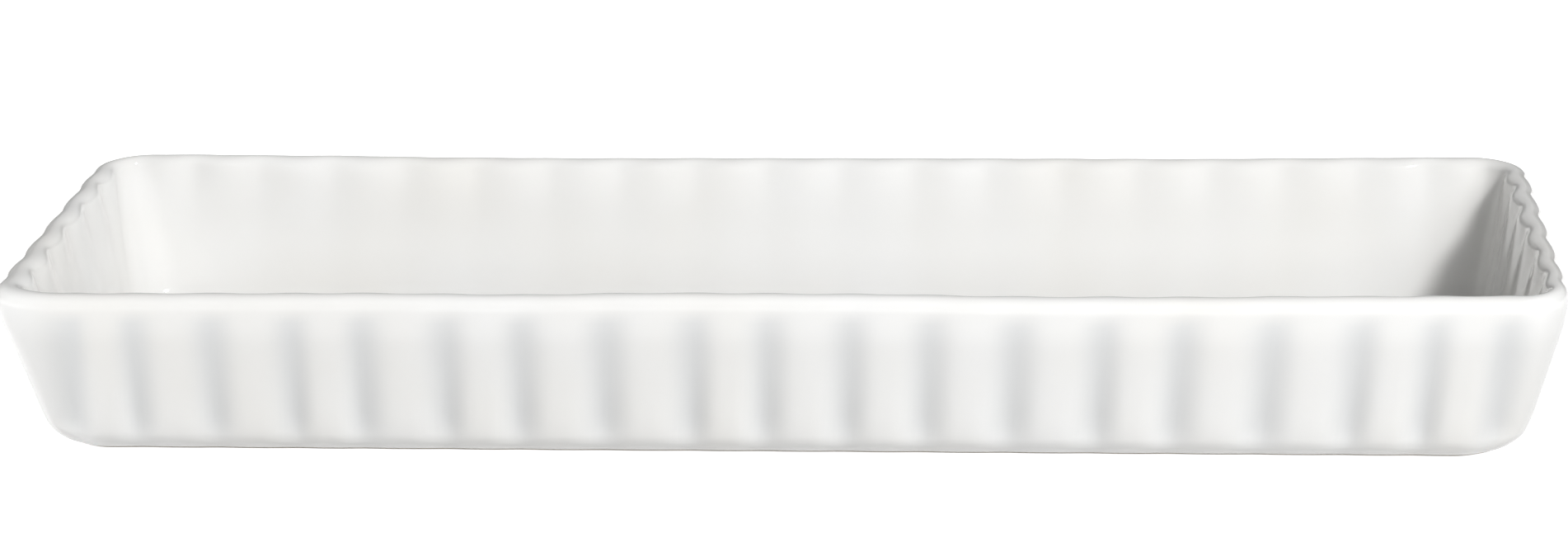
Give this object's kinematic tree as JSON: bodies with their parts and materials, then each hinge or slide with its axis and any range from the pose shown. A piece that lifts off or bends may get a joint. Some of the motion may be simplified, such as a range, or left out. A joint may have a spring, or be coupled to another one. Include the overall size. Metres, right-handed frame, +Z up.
{
  "type": "rectangular baking dish",
  "caption": "Long rectangular white glazed porcelain baking dish with fluted, outward-leaning walls, a round rim and a bare foot ring, for tarts, gratins and bakes.",
  "frame": {"origin": "middle of the foot ring's plane, on the surface that the dish stands on", "axes": "+X along the length, +Y across the width, +Z up out of the open top"},
  "size_m": [0.36, 0.12, 0.042],
  "materials": {
    "bare_porcelain": "matte, fired and unglazed",
    "white_glaze": "gloss"
  },
  "bodies": {
    "root": {"porcelain_body": "bare_porcelain", "glaze_coat": "white_glaze", "base_glaze": "white_glaze"}
  },
  "joints": []
}
